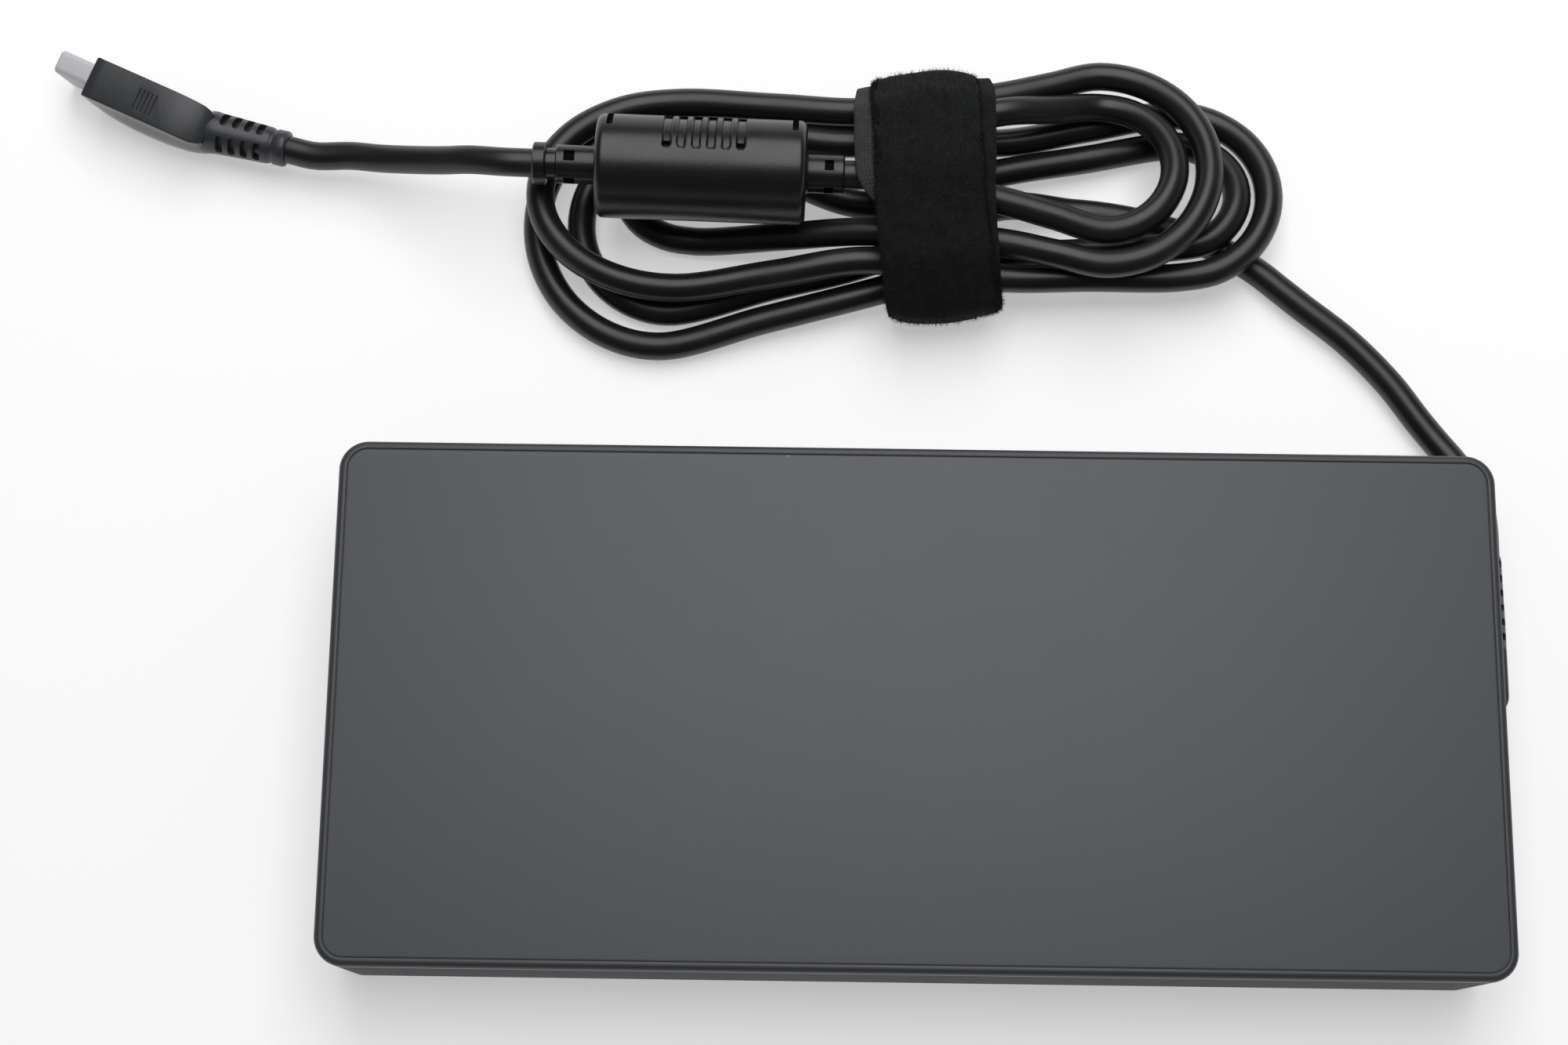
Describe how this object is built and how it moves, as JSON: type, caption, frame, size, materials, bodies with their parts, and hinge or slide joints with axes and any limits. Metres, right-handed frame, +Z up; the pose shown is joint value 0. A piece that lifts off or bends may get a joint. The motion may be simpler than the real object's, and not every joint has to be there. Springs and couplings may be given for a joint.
{
  "type": "laptop_power_adapter",
  "caption": "Flat dark-grey laptop power adapter with a grooved top panel, a side cord exit, and a black low-voltage cord tied up with its choke and rectangular plug.",
  "frame": {"origin": "centre of the adapter case's underside, on the table plane", "axes": "+X towards the wall with the cord exit, +Y towards the side where the tied cord lies, +Z up"},
  "size_m": [0.266, 0.1699, 0.0279],
  "materials": {
    "case_plastic": "fine spark-textured dark grey",
    "black_plastic": "plain black moulding",
    "soft_plastic": "satin black soft moulding",
    "cord_jacket": "satin black jacket",
    "wire_jacket": "coloured wire jackets",
    "strap_fabric": "black hook-and-loop",
    "plated_metal": "nickel plated",
    "brass_pin": "bright",
    "board": "green solder resist",
    "ferrite": "sintered dark grey",
    "copper": "enamelled copper",
    "yellow_plastic": "tape and moulded case",
    "blue_coating": "dipped coating",
    "red_coating": "dipped coating",
    "capacitor_sleeve": "shrink sleeve",
    "insulating_sheet": "thin film",
    "aluminium_sheet": "mill finish",
    "screw_steel": "zinc plated",
    "thermal_pad": "soft silicone"
  },
  "bodies": {
    "root": {"top_cover": "case_plastic", "bottom_tray": "case_plastic", "inlet_housing": "black_plastic", "inlet_blades": "plated_metal", "inlet_wires": "wire_jacket", "circuit_board": "board", "fuse": "plated_metal", "varistor": "blue_coating", "inrush_thermistor": "black_plastic", "line_choke_core": "ferrite", "line_choke_winding": "copper", "x_capacitor": "yellow_plastic", "y_capacitors": "blue_coating", "bridge_rectifier": "black_plastic", "boost_choke_core": "ferrite", "boost_choke_winding": "copper", "power_transistors": "black_plastic", "primary_heatsink": "aluminium_sheet", "bulk_capacitors": "capacitor_sleeve", "transformer_core": "ferrite", "transformer_winding": "yellow_plastic", "resonant_capacitor": "red_coating", "rectifier_transistors": "black_plastic", "secondary_heatsink": "aluminium_sheet", "output_capacitors": "capacitor_sleeve", "output_choke": "copper", "control_board": "board", "control_chips": "black_plastic", "optocouplers": "black_plastic", "heatsink_screws": "screw_steel", "bottom_insulator": "insulating_sheet", "bottom_spreader": "aluminium_sheet", "top_spreader": "aluminium_sheet", "top_insulator": "insulating_sheet", "thermal_pads": "thermal_pad", "output_wires": "wire_jacket", "exit_boot": "soft_plastic", "dc_cord_lead": "cord_jacket", "dc_cord_hank": "cord_jacket", "dc_cord_in_choke": "cord_jacket", "dc_cord_tail": "cord_jacket", "ferrite_core": "ferrite", "choke_cover": "soft_plastic", "strap_inner_turn": "strap_fabric", "strap_outer_turn": "strap_fabric", "plug_overmould": "soft_plastic", "plug_shell": "plated_metal", "plug_insulator": "black_plastic", "plug_centre_pin": "brass_pin"}
  },
  "joints": []
}
